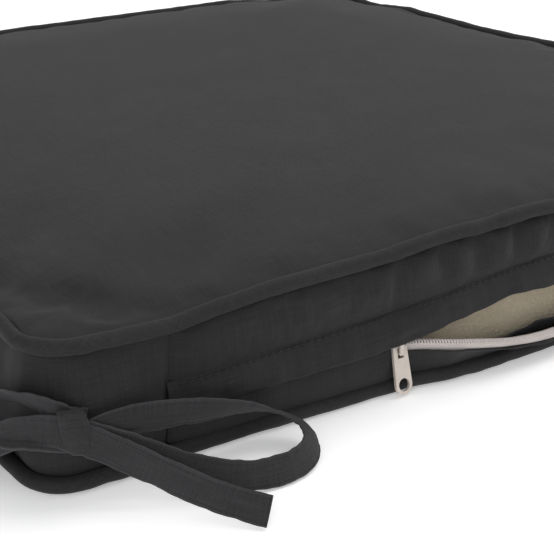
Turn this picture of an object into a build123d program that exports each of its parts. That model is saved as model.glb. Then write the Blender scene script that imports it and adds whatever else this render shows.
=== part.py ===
"""Square box-edged chair seat pad: zipped cover, piped edges, foam core and two corner ties.

Millimetres, +Z up. The origin is the middle of the resting face; +Y is the zipped rear side.
"""

import os
from math import radians, tan

from build123d import *

# Overall sizes
pad_width = 400.0            # wall to wall along X
pad_depth = 400.0            # wall to wall along Y
boxing_height = 46.6         # lower seam to upper seam
corner_radius = 16.0         # plan radius of the wall at each corner
fabric = 0.8                 # cover cloth and its backing
crown_rise = 4.0             # rise of the top panel above its edge
shoulder = 30.0              # width of the slope from a panel's edge to its flat

# Piping
piping_diameter = 5.4
piping_cord_diameter = 3.6
piping_slack = 0.1           # radial room of the filler cord in its cover
piping_overhang = 0.1        # piping centre inside the wall's outer face

# Foam
foam_edge_radius = 6.0
foam_rear_room = 1.7         # room behind the zip panels for folds and tapes
foam_channel_depth = 3.4     # the foam gives way this much round the zip slider
foam_channel_margin = 1.0    # channel above and below the coils

# Zip
zip_half_length = 152.0      # middle of the rear wall to the vertical seams
zip_height = 18.6            # zip line above the resting face
coil_size = 2.0
coil_spacing = 1.8           # clear gap between the two coils
tape_thickness = 0.6
tape_width = 11.0
lower_fold_drop = 4.4        # zip line down to the lower strip's fold
stitch_height = 31.4         # row that holds the flap's fold and the upper tape
flap_reach = 11.8            # topstitch row down to the flap's free edge
flap_stand_off = 4.3         # how far the slider pushes the flap's edge out
mouth_start = 48.0           # the open part of the zip runs from here ...
mouth_end = -132.0           # ... to here
mouth_lift = 6.0             # rise of the upper lip at the mouth's middle
mouth_drop = 4.0             # fall of the lower lip there

# Slider and pull
slider_rest = 60.4           # slider's place along the zip
slider_length = 10.6
slider_taper = 1.6           # height lost towards the closed side
slider_plate = 0.9
slider_play = 0.3            # each plate to the tapes and coils
flange_width = 0.5           # side flanges that keep the coils in
flange_play = 0.6            # each flange to its coil
bail_width = 1.6
bail_bar = 0.9
bail_window = 2.2            # clear depth under the bail
bail_low, bail_high = -3.2, 1.0    # ends of the bail about the zip line
pull_thickness = 1.2
pull_length = 17.5           # hinge to the round end
pull_top_width = 6.2
pull_bottom_width = 7.2
pull_hole = 4.8
pull_slot_width = 2.6
pull_slot_length = 3.4
pull_lean = 14.0             # degrees, clear of the piping when it hangs
pull_pin = 1.2               # round crossbar at the top of the pull
pull_clearance = 0.15        # crossbar to the bail

# Ties
ribbon_width = 10.0
ribbon_thickness = 1.2
knot_width = 9.0
knot_depth = 8.6
knot_height = 14.5
knot_inset = 9.4             # knot's middle inside the side wall ...
knot_stand_off = 5.6         # ... outside the rear wall ...
knot_level = 25.5            # ... and above the resting face
knot_turn = -15.0            # degrees about Z, facing out of the corner

# Routes of the right corner's two straps, from the sewn root to the bare end
side_strap_route = [
    (184.4, 201.0, 28.0),
    (190.0, 203.4, 29.5),
    (196.4, 203.0, 33.5),
    (201.8, 194.5, 35.0),
    (202.6, 182.0, 31.0),
    (204.0, 169.0, 24.5),
    (207.5, 157.0, 16.0),
    (213.0, 149.5, 9.5),
    (219.5, 153.0, 6.3),
    (219.5, 163.0, 6.8),
    (215.0, 174.0, 11.0),
    (209.5, 184.5, 17.5),
    (205.5, 194.5, 24.5),
    (198.5, 203.2, 27.5),
    (190.5, 208.6, 24.5),
    (182.2, 211.0, 19.3),
    (172.2, 219.9, 13.5),
    (162.8, 232.9, 9.0),
    (155.2, 242.0, 6.2),
    (148.5, 250.0, 5.2),
]
rear_strap_route = [
    (195.4, 197.2, 19.0),
    (191.0, 204.6, 22.0),
    (181.5, 205.6, 25.5),
    (166.3, 207.0, 24.0),
    (148.2, 208.6, 21.5),
    (132.0, 208.0, 17.5),
    (119.0, 206.8, 12.5),
    (111.3, 211.5, 9.0),
    (111.8, 221.0, 6.5),
    (119.5, 229.0, 5.4),
    (131.0, 232.0, 5.2),
    (144.5, 229.0, 5.6),
    (157.5, 222.5, 9.0),
    (169.0, 214.0, 14.0),
    (180.0, 208.4, 20.0),
    (189.5, 206.8, 24.0),
    (199.6, 201.6, 24.4),
    (206.0, 192.5, 21.5),
    (206.8, 179.5, 16.8),
    (207.0, 166.5, 12.3),
    (208.4, 153.5, 8.4),
    (209.2, 141.5, 6.0),
    (210.8, 130.5, 5.6),
]

# Levels and faces that follow from the sizes above
piping_radius = piping_diameter / 2
lower_seam = piping_diameter
upper_seam = lower_seam + boxing_height
bottom_piping_height = piping_radius
top_piping_height = upper_seam + piping_radius
panel_inset = piping_radius + piping_overhang
rear_face = pad_depth / 2
tape_front = rear_face - 2 * fabric
zip_y = tape_front - (tape_thickness + coil_size) / 2
lower_fold = zip_height - lower_fold_drop
slider_gap = tape_thickness + coil_size + 2 * slider_play
slider_height = coil_spacing + 2 * (coil_size + flange_play + flange_width)
slider_tail_height = slider_height - slider_taper
slider_flange = coil_size + slider_play / 3
post_size = coil_spacing - flange_play
slider_front = zip_y + slider_gap / 2 + slider_plate
pull_hinge_y = slider_front + bail_window / 2
pull_hinge_z = zip_height + bail_high - bail_bar - pull_pin / 2 - pull_clearance
mouth_middle = (mouth_start + mouth_end) / 2


def save(part, name):
    """Label one piece and write its STEP file."""
    part.label = name
    export_step(part, f"parts/{name}.step")
    print(name, round(part.volume, 1), "valid" if part.is_valid else "NOT VALID")
    return part


def pad_outline(inset, rear_room=0.0, mode=Mode.ADD):
    """Rounded square of the pad, a stated distance inside its wall."""
    with Locations((0, -rear_room / 2)):
        RectangleRounded(
            pad_width - 2 * inset,
            pad_depth - 2 * inset - rear_room,
            max(corner_radius - inset, corner_radius / 4),
            mode=mode,
        )


def slope(edge_height, rise, edge_inset):
    """Frustum from a panel's edge up, or down, to its flat."""
    with BuildSketch(Plane.XY.offset(edge_height)) as edge:
        pad_outline(edge_inset)
    with BuildSketch(Plane.XY.offset(edge_height + rise)) as flat:
        pad_outline(edge_inset + shoulder)
    loft([edge.sketch, flat.sketch], ruled=True)


def crowned_panel(edge_height, rise):
    """Thin cloth panel whose middle stands off from its edge by the rise."""
    away = fabric / 2 if rise > 0 else -fabric / 2
    with BuildPart() as outer:
        with BuildSketch(Plane.XY.offset(edge_height - away)):
            pad_outline(panel_inset)
        extrude(amount=2 * away)
        slope(edge_height + away, rise, panel_inset)
    with BuildPart() as inner:
        slope(edge_height - away, rise, panel_inset)
    with BuildPart() as panel:
        add(outer.part)
        add(inner.part, mode=Mode.SUBTRACT)
    return panel.part


def piping_ring(centre_height, outer_radius, inner_radius):
    """Round tube, or cord if it has no bore, along the pad's edge."""
    with BuildSketch(Plane.XY.offset(centre_height)) as plan:
        pad_outline(piping_overhang)
    edge = plan.sketch.face().outer_wire()
    with BuildPart() as ring:
        with BuildSketch(Plane(edge @ 0, z_dir=edge % 0)):
            Circle(outer_radius)
            if inner_radius > 0:
                Circle(inner_radius, mode=Mode.SUBTRACT)
        sweep(path=edge)
    return ring.part


def lip_edge(height, bow):
    """A lip's edge along the zip, straight where it is closed and bowed at the mouth."""
    Polyline((-zip_half_length, height), (mouth_end, height))
    ThreePointArc((mouth_end, height), (mouth_middle, height + bow), (mouth_start, height))
    Polyline((mouth_start, height), (zip_half_length, height))


def lip_strip(edge_height, bow, other_height, other_bow, front, thickness):
    """Flat strip in the rear wall between a lip's edge and another edge."""
    # Looking from behind the pad, the sketch's x runs along +X and its y along +Z.
    plane = Plane((0, front, 0), x_dir=(1, 0, 0), z_dir=(0, -1, 0))
    with BuildPart() as strip:
        with BuildSketch(plane):
            with BuildLine():
                lip_edge(edge_height, bow)
                for side in (-zip_half_length, zip_half_length):
                    Line((side, edge_height), (side, other_height))
                if other_bow:
                    lip_edge(other_height, other_bow)
                else:
                    Line((-zip_half_length, other_height), (zip_half_length, other_height))
            make_face()
        extrude(amount=thickness)
    return strip.part


def route_radii(route):
    """Largest arc at each inner point: 0.45 of the shorter run over tan of half the turn."""
    points = [Vector(*point) for point in route]
    radii = []
    for before, here, after in zip(points, points[1:], points[2:]):
        turn = (here - before).get_angle(after - here)
        shorter = min((here - before).length, (after - here).length)
        radii.append(0.45 * shorter / tan(radians(turn / 2)))
    return radii


def ribbon(route, name):
    """Flat strap of one width that follows its route, starting on edge."""
    radii = route_radii(route)
    with BuildPart() as strap:
        with BuildLine() as path:
            FilletPolyline(*route, radius=radii)
        centre_line = path.wire()
        start = Plane(centre_line @ 0, x_dir=(0, 0, 1), z_dir=centre_line % 0)
        with BuildSketch(start):
            Rectangle(ribbon_width, ribbon_thickness)
        sweep(path=centre_line)
    expected = centre_line.length * ribbon_width * ribbon_thickness
    print(name, "length", round(centre_line.length, 1), "tightest radius", round(min(radii), 1),
          "volume share", round(strap.part.volume / expected, 3))
    return strap.part


os.makedirs("parts", exist_ok=True)

# Cover panels
save(crowned_panel(top_piping_height, crown_rise), "top_panel")
save(crowned_panel(bottom_piping_height, fabric / 2 - bottom_piping_height), "bottom_panel")

# Piping: a bias strip round a filler cord, at both edges
for edge_name, level in (("top", top_piping_height), ("bottom", bottom_piping_height)):
    cord_radius = piping_cord_diameter / 2
    cover = piping_ring(level, piping_radius, cord_radius + piping_slack)
    save(cover, f"{edge_name}_piping_cover")
    save(piping_ring(level, cord_radius, 0), f"{edge_name}_piping_cord")

# Boxing band: front, both sides and the rear corners, up to the zip panels
with BuildPart() as boxing_band:
    with BuildSketch(Plane.XY.offset(lower_seam)):
        pad_outline(0)
        pad_outline(fabric, mode=Mode.SUBTRACT)
    extrude(amount=boxing_height)
    with Locations((0, rear_face, (lower_seam + upper_seam) / 2)):
        Box(2 * zip_half_length, 6 * fabric, 2 * boxing_height, mode=Mode.SUBTRACT)
save(boxing_band.part, "boxing_band")

# Upper zip panel: a plain strip, then a doubled flap that stands over the slider
flap_bottom = stitch_height - flap_reach
with BuildPart() as zip_panel_upper:
    with BuildSketch(Plane.YZ.offset(-zip_half_length)):
        with BuildLine():
            Polyline(
                (rear_face, upper_seam),
                (rear_face, stitch_height),
                (rear_face + flap_stand_off, flap_bottom),
                (tape_front + flap_stand_off, flap_bottom),
                (tape_front, stitch_height),
                (rear_face - fabric, stitch_height),
                (rear_face - fabric, upper_seam),
                close=True,
            )
        make_face()
    extrude(amount=2 * zip_half_length)
    cut_plane = Plane((0, rear_face + 2 * flap_stand_off, 0), x_dir=(1, 0, 0), z_dir=(0, -1, 0))
    with BuildSketch(cut_plane):
        with BuildLine():
            ThreePointArc(
                (mouth_end, flap_bottom),
                (mouth_middle, flap_bottom + mouth_lift),
                (mouth_start, flap_bottom),
            )
            Polyline(
                (mouth_start, flap_bottom),
                (mouth_start, flap_bottom - 1),
                (mouth_end, flap_bottom - 1),
                (mouth_end, flap_bottom),
            )
        make_face()
    extrude(amount=4 * flap_stand_off, mode=Mode.SUBTRACT)
save(zip_panel_upper.part, "zip_panel_upper")

# Lower zip panel: a strip folded double at the zip
lower_strip = lip_strip(lower_fold, -mouth_drop, lower_seam, 0, rear_face, 2 * fabric)
save(lower_strip, "zip_panel_lower")

# Zip tapes behind the panels, with a coil along each tape's edge
upper_coil_low = zip_height + coil_spacing / 2
lower_coil_high = zip_height - coil_spacing / 2
upper_tape = lip_strip(
    upper_coil_low + coil_size / 2, mouth_lift, stitch_height, 0, tape_front, tape_thickness
)
save(upper_tape, "zip_tape_upper")
lower_tape = lip_strip(
    lower_coil_high - coil_size / 2, -mouth_drop,
    lower_coil_high - tape_width, 0, tape_front, tape_thickness,
)
save(lower_tape, "zip_tape_lower")
coil_front = tape_front - tape_thickness
save(
    lip_strip(upper_coil_low, mouth_lift, upper_coil_low + coil_size, mouth_lift,
              coil_front, coil_size),
    "zip_coil_upper",
)
save(
    lip_strip(lower_coil_high, -mouth_drop, lower_coil_high - coil_size, -mouth_drop,
              coil_front, coil_size),
    "zip_coil_lower",
)

# Slider: two tapered plates, a post between the coils, side flanges and a bail
slider_plane = Plane((slider_rest, slider_front, zip_height), x_dir=(1, 0, 0), z_dir=(0, -1, 0))
with BuildPart() as slider:
    for depth in (0, slider_plate + slider_gap):
        with BuildSketch(slider_plane.offset(depth)) as plate_shape:
            with BuildLine():
                Polyline(
                    (-slider_length / 2, -slider_height / 2),
                    (0, -slider_height / 2),
                    (slider_length / 2, -slider_tail_height / 2),
                    (slider_length / 2, slider_tail_height / 2),
                    (0, slider_height / 2),
                    (-slider_length / 2, slider_height / 2),
                    close=True,
                )
            make_face()
            fillet(plate_shape.vertices(), 0.8)
        extrude(amount=slider_plate)
    with BuildSketch(slider_plane):
        with Locations((-slider_length / 2 + post_size, 0)):
            SlotOverall(2 * post_size, post_size)
    extrude(amount=2 * slider_plate + slider_gap)
    with BuildSketch(slider_plane.offset(slider_plate + slider_gap)):
        for side in (-1, 1):
            with Locations((-slider_length / 4, side * (slider_height - flange_width) / 2)):
                Rectangle(slider_length / 3, flange_width)
    extrude(amount=-slider_flange)
    with BuildSketch(Plane.YZ.offset(slider_rest - bail_width / 2)):
        with Locations((slider_front + (bail_window + bail_bar) / 2,
                        zip_height + (bail_low + bail_high) / 2)):
            Rectangle(bail_window + bail_bar, bail_high - bail_low)
        with Locations((slider_front + bail_window / 2, zip_height + (bail_low + bail_high) / 2)):
            Rectangle(bail_window, bail_high - bail_low - 2 * bail_bar, mode=Mode.SUBTRACT)
    extrude(amount=bail_width)
save(slider.part, "zip_slider_body")

# Pull tab: a plate with a round hole, hung by its crossbar under the bail
pull_plane = Plane((slider_rest, pull_hinge_y, pull_hinge_z), x_dir=(1, 0, 0), z_dir=(0, -1, 0))
with BuildPart() as pull_tab:
    with BuildSketch(pull_plane.offset(-pull_thickness / 2)) as pull_shape:
        bottom_radius = pull_bottom_width / 2
        with BuildLine():
            Polyline(
                (-bottom_radius, bottom_radius - pull_length),
                (-pull_top_width / 2, 0),
                (pull_top_width / 2, 0),
                (bottom_radius, bottom_radius - pull_length),
            )
            ThreePointArc(
                (bottom_radius, bottom_radius - pull_length),
                (0, -pull_length),
                (-bottom_radius, bottom_radius - pull_length),
            )
        make_face()
        with Locations((0, bottom_radius - pull_length)):
            Circle(pull_hole / 2, mode=Mode.SUBTRACT)
        with Locations((0, -(pull_pin / 2 + pull_slot_length) / 2)):
            Rectangle(pull_slot_width, pull_pin / 2 + pull_slot_length, mode=Mode.SUBTRACT)
    extrude(amount=pull_thickness)
    with BuildSketch(Plane.YZ.offset(slider_rest - pull_top_width / 2)):
        with Locations((pull_hinge_y, pull_hinge_z)):
            Circle(pull_pin / 2)
    extrude(amount=pull_top_width)
hinge_line = Axis((slider_rest, pull_hinge_y, pull_hinge_z), (1, 0, 0))
save(pull_tab.part.rotate(hinge_line, pull_lean), "zip_pull_tab")

# Foam core, set back behind the zip
foam_low = bottom_piping_height + fabric / 2
foam_high = top_piping_height - fabric / 2
coil_reach = coil_spacing / 2 + coil_size + foam_channel_margin
channel_low = zip_height - coil_reach - mouth_drop
channel_high = zip_height + coil_reach + mouth_lift
with BuildPart() as foam_core:
    with BuildSketch(Plane.XY.offset(foam_low)):
        pad_outline(fabric, foam_rear_room)
    extrude(amount=foam_high - foam_low)
    ends = foam_core.faces().filter_by(Axis.Z).edges()
    fillet(ends, foam_edge_radius)
    slope(foam_high, crown_rise, panel_inset + foam_edge_radius)
    slope(foam_low, fabric - foam_low, panel_inset + foam_edge_radius)
    with Locations((0, rear_face, (channel_low + channel_high) / 2)):
        Box(
            2 * zip_half_length + 4,
            2 * (fabric + foam_rear_room + foam_channel_depth),
            channel_high - channel_low,
            mode=Mode.SUBTRACT,
        )
save(foam_core.part, "foam_core")

# Corner ties: each corner has a knot and two straps tied in a bow; the left is the mirror
knot_plane = Plane(
    (pad_width / 2 - knot_inset, rear_face + knot_stand_off, knot_level - knot_height / 2)
).rotated((0, 0, knot_turn))
with BuildPart() as knot:
    with BuildSketch(knot_plane):
        RectangleRounded(knot_width, knot_depth, 2.4)
    extrude(amount=knot_height)
    fillet(knot.faces().filter_by(Axis.Z).edges(), 1.4)
tie_pieces = {
    "knot": knot.part,
    "side_strap": ribbon(side_strap_route, "side_strap"),
    "rear_strap": ribbon(rear_strap_route, "rear_strap"),
}
for piece_name, piece in tie_pieces.items():
    save(piece, f"tie_right_{piece_name}")
    with BuildPart() as other_side:
        mirror(piece, about=Plane.YZ)
    save(other_side.part, f"tie_left_{piece_name}")
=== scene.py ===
"""Looks of a square, zipped chair seat pad with piped edges and corner ties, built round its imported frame.

Metres, +Z up. +Y is the zipped rear side, and the pad rests on Z = 0.
"""

from math import cos, pi, radians, sin, tau

import bmesh
import bpy
import numpy as np
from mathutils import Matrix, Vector


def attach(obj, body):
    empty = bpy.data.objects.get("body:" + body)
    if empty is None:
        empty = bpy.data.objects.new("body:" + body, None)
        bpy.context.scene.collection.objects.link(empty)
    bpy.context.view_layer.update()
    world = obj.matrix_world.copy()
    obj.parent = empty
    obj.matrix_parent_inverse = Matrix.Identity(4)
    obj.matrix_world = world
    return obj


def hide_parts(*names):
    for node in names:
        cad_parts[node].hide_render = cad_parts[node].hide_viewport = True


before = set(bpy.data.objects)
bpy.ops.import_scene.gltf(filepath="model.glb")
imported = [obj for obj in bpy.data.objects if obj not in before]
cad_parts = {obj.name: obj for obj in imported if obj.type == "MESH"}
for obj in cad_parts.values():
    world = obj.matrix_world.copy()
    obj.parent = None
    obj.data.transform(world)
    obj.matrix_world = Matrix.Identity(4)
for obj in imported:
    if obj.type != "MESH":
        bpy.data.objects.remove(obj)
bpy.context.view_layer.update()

bl_info = {
    "name": "Zipped Seat Pad",
    "version": (1, 0, 0),
    "blender": (4, 5, 0),
    "location": "View3D > Sidebar > Seat Pad",
    "description": "Builds a piped, zipped chair seat pad with corner ties",
    "category": "Add Mesh",
}

# Sizes that the frame fixes
HALF = 0.2                   # middle of the pad to its wall
CORNER = 0.016               # plan radius of the wall at a corner
LOWER_SEAM = 0.0054
UPPER_SEAM = 0.052
PIPING_RADIUS = 0.0027
PIPING_CORD_RADIUS = 0.0018
PANEL_INSET = 0.0028         # a panel's seam inside the wall
ZIP_END = 0.152              # middle of the rear wall to a vertical seam
STRAIGHT = HALF - CORNER
BEND = CORNER * pi / 2
SIDE = 2 * STRAIGHT + BEND   # along one wall and one corner
AROUND = 4 * SIDE
REAR_MIDDLE = 2 * SIDE       # distance from the middle of the front to that of the rear

HALF_ROOT = 0.7071           # sine of 45 degrees, for cloth cut on the bias

# Zip and its strips
SLIDER_REST = 0.0604
MOUTH_START = 0.052          # where the lips part, beside the slider
MOUTH_END = -0.134
MOUTH_WIDENS = 0.075         # distance over which the mouth comes to its full height
MOUTH_NARROWS = 0.035
LIP_LENGTH = 0.0094          # foot of the lower lip to its fold, along the open zip
LIP_RISE = 0.0038            # how much longer the lip stands where the zip is closed
LIP_THICK = 0.0009
FLAP_THICK = 0.0017
TAPE_THICK = 0.0006
TAPE_BESIDE_FOLD = 0.0013    # lower tape's middle inside the face of the lip's fold
COIL_RADIUS = 0.00075
COIL_STRAND = 0.00042
SEAM_OVERLAP = 0.0018        # how far the rear strips run under the boxing
STRIP_COLUMNS = 220

# Routes of the right corner's straps, from the sewn root to the bare end
SIDE_STRAP_ROUTE = [
    (0.1844, 0.2010, 0.0280), (0.1900, 0.2034, 0.0295), (0.1964, 0.2030, 0.0335),
    (0.2018, 0.1945, 0.0350), (0.2026, 0.1820, 0.0310), (0.2040, 0.1690, 0.0245),
    (0.2075, 0.1570, 0.0160), (0.2130, 0.1495, 0.0095), (0.2195, 0.1530, 0.0063),
    (0.2195, 0.1630, 0.0068), (0.2150, 0.1740, 0.0110), (0.2095, 0.1845, 0.0175),
    (0.2055, 0.1945, 0.0245), (0.1985, 0.2032, 0.0275), (0.1905, 0.2086, 0.0245),
    (0.1822, 0.2110, 0.0193), (0.1722, 0.2199, 0.0135), (0.1628, 0.2329, 0.0090),
    (0.1552, 0.2420, 0.0062), (0.1485, 0.2500, 0.0052),
]
REAR_STRAP_ROUTE = [
    (0.1954, 0.1972, 0.0190), (0.1910, 0.2046, 0.0220), (0.1815, 0.2056, 0.0255),
    (0.1663, 0.2070, 0.0240), (0.1482, 0.2086, 0.0215), (0.1320, 0.2080, 0.0175),
    (0.1190, 0.2068, 0.0125), (0.1113, 0.2115, 0.0090), (0.1118, 0.2210, 0.0065),
    (0.1195, 0.2290, 0.0054), (0.1310, 0.2320, 0.0052), (0.1445, 0.2290, 0.0056),
    (0.1575, 0.2225, 0.0090), (0.1690, 0.2140, 0.0140), (0.1800, 0.2084, 0.0200),
    (0.1895, 0.2068, 0.0240), (0.1996, 0.2016, 0.0244), (0.2060, 0.1925, 0.0215),
    (0.2068, 0.1795, 0.0168), (0.2070, 0.1665, 0.0123), (0.2084, 0.1535, 0.0084),
    (0.2092, 0.1415, 0.0060), (0.2108, 0.1305, 0.0056),
]
# Lean of each strap's width from upright, in degrees, at places counted in route points
SIDE_STRAP_LEAN = (
    [0, 2, 3, 4, 5, 6, 7, 8, 9, 11, 13, 15, 17, 19],
    [0, -15, -38, -50, -48, -30, 0, 20, 12, -8, -15, -20, -24, -26])
REAR_STRAP_LEAN = (
    [0, 2, 3, 4, 5, 6, 7, 8, 9, 12, 14, 15, 16, 17, 22],
    [0, -10, -6, 14, 44, 70, 60, 36, 26, 20, 8, 20, 55, 75, 80])

KNOT_MIDDLE = (0.1906, 0.2056, 0.0255)


# ---------------------------------------------------------------- settings

class PadSettings(bpy.types.PropertyGroup):
    seed: bpy.props.IntProperty(
        name="Seed", description="Seed of every random draw", default=7, min=0)
    pressure: bpy.props.FloatProperty(
        name="Pressure", description="Air pressure that swells the cover", default=4.0)
    frames: bpy.props.IntProperty(
        name="Frames", description="Steps of the cloth simulation", default=20, min=2)
    spare_cloth: bpy.props.FloatProperty(
        name="Spare cloth", description="Share of extra cloth that makes the folds",
        default=0.016, subtype="FACTOR")
    reach: bpy.props.FloatProperty(
        name="Reach", description="Most that a point of the cover may move",
        default=0.004, unit="LENGTH")
    cloth: bpy.props.FloatProperty(
        name="Cloth", description="Thickness of the cover cloth", default=0.0008, unit="LENGTH")
    crown: bpy.props.FloatProperty(
        name="Crown", description="Rise of the top's middle above its seam",
        default=0.0046, unit="LENGTH")


class ZipSettings(bpy.types.PropertyGroup):
    stitch_pitch: bpy.props.FloatProperty(
        name="Stitch pitch", description="Length of one stitch and its gap",
        default=0.0031, unit="LENGTH")
    coil_pitch: bpy.props.FloatProperty(
        name="Coil pitch", description="Length of one turn of the zip's coil",
        default=0.0011, unit="LENGTH")


class TieSettings(bpy.types.PropertyGroup):
    width: bpy.props.FloatProperty(
        name="Width", description="Width of a strap", default=0.010, unit="LENGTH")
    thickness: bpy.props.FloatProperty(
        name="Thickness", description="Thickness of a strap", default=0.0012, unit="LENGTH")


class FinishSettings(bpy.types.PropertyGroup):
    cloth: bpy.props.FloatVectorProperty(
        name="Cloth", description="Colour of the cover cloth", subtype="COLOR",
        default=(0.0155, 0.0152, 0.0163))
    zip_parts: bpy.props.FloatVectorProperty(
        name="Zip", description="Colour of the zip's metal", subtype="COLOR",
        default=(0.608, 0.538, 0.485))
    tape: bpy.props.FloatVectorProperty(
        name="Tape", description="Colour of the zip's tape and coil", subtype="COLOR",
        default=(0.582, 0.531, 0.502))
    foam: bpy.props.FloatVectorProperty(
        name="Foam", description="Colour of the foam", subtype="COLOR",
        default=(0.518, 0.448, 0.334))
    weave: bpy.props.FloatProperty(
        name="Weave", description="Thread spacing of the cover cloth",
        default=0.00062, unit="LENGTH", precision=5)


# ---------------------------------------------------------------- shader maths

class Socket:
    """One value in a material's nodes, which takes part in Python arithmetic."""

    def __init__(self, graph, socket):
        self.graph, self.socket = graph, socket

    def math(self, operation, *values):
        return self.graph.node("ShaderNodeMath", {"operation": operation}, dict(enumerate(values)))

    def __add__(self, other):
        return self.math("ADD", self, other)

    def __sub__(self, other):
        return self.math("SUBTRACT", self, other)

    def __rsub__(self, other):
        return self.math("SUBTRACT", other, self)

    def __mul__(self, other):
        return self.math("MULTIPLY", self, other)

    def __truediv__(self, other):
        return self.math("DIVIDE", self, other)

    def __pow__(self, other):
        return self.math("POWER", self, other)

    __radd__, __rmul__ = __add__, __mul__

    def sine(self):
        return self.math("SINE", self)

    def size(self):
        return self.math("ABSOLUTE", self)

    def at_least(self, least):
        return self.math("MAXIMUM", self, least)

    def over(self, level):
        """One where the value is over the level, else nought."""
        return self.math("GREATER_THAN", self, level)


class Graph:
    """A material's nodes."""

    def __init__(self, name):
        self.material = bpy.data.materials.new(name)
        self.material.use_nodes = True
        self.tree = self.material.node_tree
        self.tree.nodes.clear()

    def node(self, kind, settings=None, values=None, output=0):
        """Add one node: its settings first, then its sockets' values or links."""
        made = self.tree.nodes.new(kind)
        for name, setting in (settings or {}).items():
            if name == "stops":
                ramp = made.color_ramp.elements
                while len(ramp) < len(setting):
                    ramp.new(0.5)
                for element, (place, colour) in zip(ramp, setting):
                    element.position, element.color = place, (*colour, 1)
            else:
                setattr(made, name, setting)
        for place, value in (values or {}).items():
            if isinstance(value, Socket):
                self.tree.links.new(value.socket, made.inputs[place])
            else:
                made.inputs[place].default_value = value
        return Socket(self, made.outputs[output]) if len(made.outputs) else None

    def cloth_place(self):
        """Place on the cloth as two values, in millimetres."""
        place = self.node("ShaderNodeUVMap", {"uv_map": "cloth"})
        parts = self.node("ShaderNodeSeparateXYZ", None, {0: place})
        both = parts.socket.node.outputs
        return Socket(self, both[0]) * 1000, Socket(self, both[1]) * 1000

    def join(self, *values):
        return self.node("ShaderNodeCombineXYZ", None, dict(enumerate(values)))

    def object_place(self):
        return self.node("ShaderNodeTexCoord", None, None, "Object")

    def noise(self, place, scale, detail=2.0, roughness=0.5):
        return self.node(
            "ShaderNodeTexNoise", None,
            {"Vector": place, "Scale": scale, "Detail": detail, "Roughness": roughness}, "Fac")

    def mix(self, factor, first, second):
        """Mix of two colours."""
        return self.node(
            "ShaderNodeMix", {"data_type": "RGBA"}, {0: factor, 6: first, 7: second}, 2)

    def bump(self, height, strength, distance, normal=None):
        values = {"Height": height, "Strength": strength, "Distance": distance}
        if normal:
            values["Normal"] = normal
        return self.node("ShaderNodeBump", None, values)

    def finish(self, colour, roughness, normal=None, constants=None):
        values = {"Base Color": colour, "Roughness": roughness, **(constants or {})}
        if normal:
            values["Normal"] = normal
        surface = self.node("ShaderNodeBsdfPrincipled", None, values)
        self.node("ShaderNodeOutputMaterial", None, {"Surface": surface})
        return self.material


def tinted(colour, share):
    """The colour with its brightness changed, as a socket value."""
    return (*(min(1.0, part * share) for part in colour), 1)


# Stitched edge of a ribbon, in millimetres from its middle line
EDGE_FROM_MIDDLE = 4.75
ROW_FROM_MIDDLE = 3.55
ROW_WIDTH = 0.22
ROW_PITCH = 2.6


def woven(name, colour, pitch, turned=False, edged=False):
    """Plain-weave polyester: threads over and under, slubs and a faint nap."""
    graph = Graph(name)
    u, v = graph.cloth_place()
    if turned:
        u, v = (u + v) * HALF_ROOT, (u - v) * HALF_ROOT
    step = pi / (pitch * 1000)
    wander = graph.noise(graph.join(u * 0.22, v * 0.22, 0.0), 1.0, 2.0)
    warp, weft = (u + wander * 0.35) * step, (v + wander * 0.30) * step
    threads = warp.sine() * weft.sine()                       # which thread lies on top
    cells = (warp.sine().size() * weft.sine().size()) ** 0.5
    warp_tone = graph.noise(graph.join(u * 1.5, v * 0.05, 3.0), 1.0, 3.0, 0.7)
    weft_tone = graph.noise(graph.join(u * 0.05, v * 1.5, 8.0), 1.0, 3.0, 0.7)
    fuzz = graph.noise(graph.join(u, v, 1.0), 2.6, 3.0, 0.75)
    patches = graph.noise(graph.join(u * 0.03, v * 0.03, 5.0), 1.0, 3.0, 0.55)
    tone = (
        0.5 + threads * 0.12 + (cells - 0.5) * 0.24 + (warp_tone + weft_tone - 1.0) * 1.15
        + (fuzz - 0.5) * 0.9 + (patches - 0.5) * 0.6
    )
    if edged:
        # The folded edges get a painted highlight where they catch the light, and a row of stitches runs
        # just inside one of them.
        # painted highlight: lighter towards both folded edges of the ribbon
        rim = (v.size() / EDGE_FROM_MIDDLE) ** 9.0
        row = (1 - ((v - ROW_FROM_MIDDLE) / ROW_WIDTH).size()).at_least(0.0)
        dash = (u * (tau / ROW_PITCH)).sine().over(-0.25)
        tone = tone + rim * 0.30 - row * (0.25 + dash * 0.35)
    cloth = graph.node(
        "ShaderNodeValToRGB",
        {"stops": [(0.0, tinted(colour, 0.55)[:3]), (0.5, tuple(colour)),
                   (1.0, tinted(colour, 1.75)[:3])]},
        {0: tone})
    height = cells * 0.6 + threads * 0.25 + (warp_tone + weft_tone) * 0.45 + fuzz * 0.35
    fine = graph.bump(height, 0.55, 0.00018)
    soft = graph.noise(graph.join(u * 0.06, v * 0.06, 2.0), 1.0, 4.0, 0.6)
    normal = graph.bump(soft, 0.16, 0.0010, fine)
    return graph.finish(
        cloth, 0.62 + fuzz * 0.22, normal,
        {"Sheen Weight": 0.06, "Sheen Roughness": 0.5, "Sheen Tint": (0.8, 0.8, 0.85, 1.0),
         "Specular IOR Level": 0.25})


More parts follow.
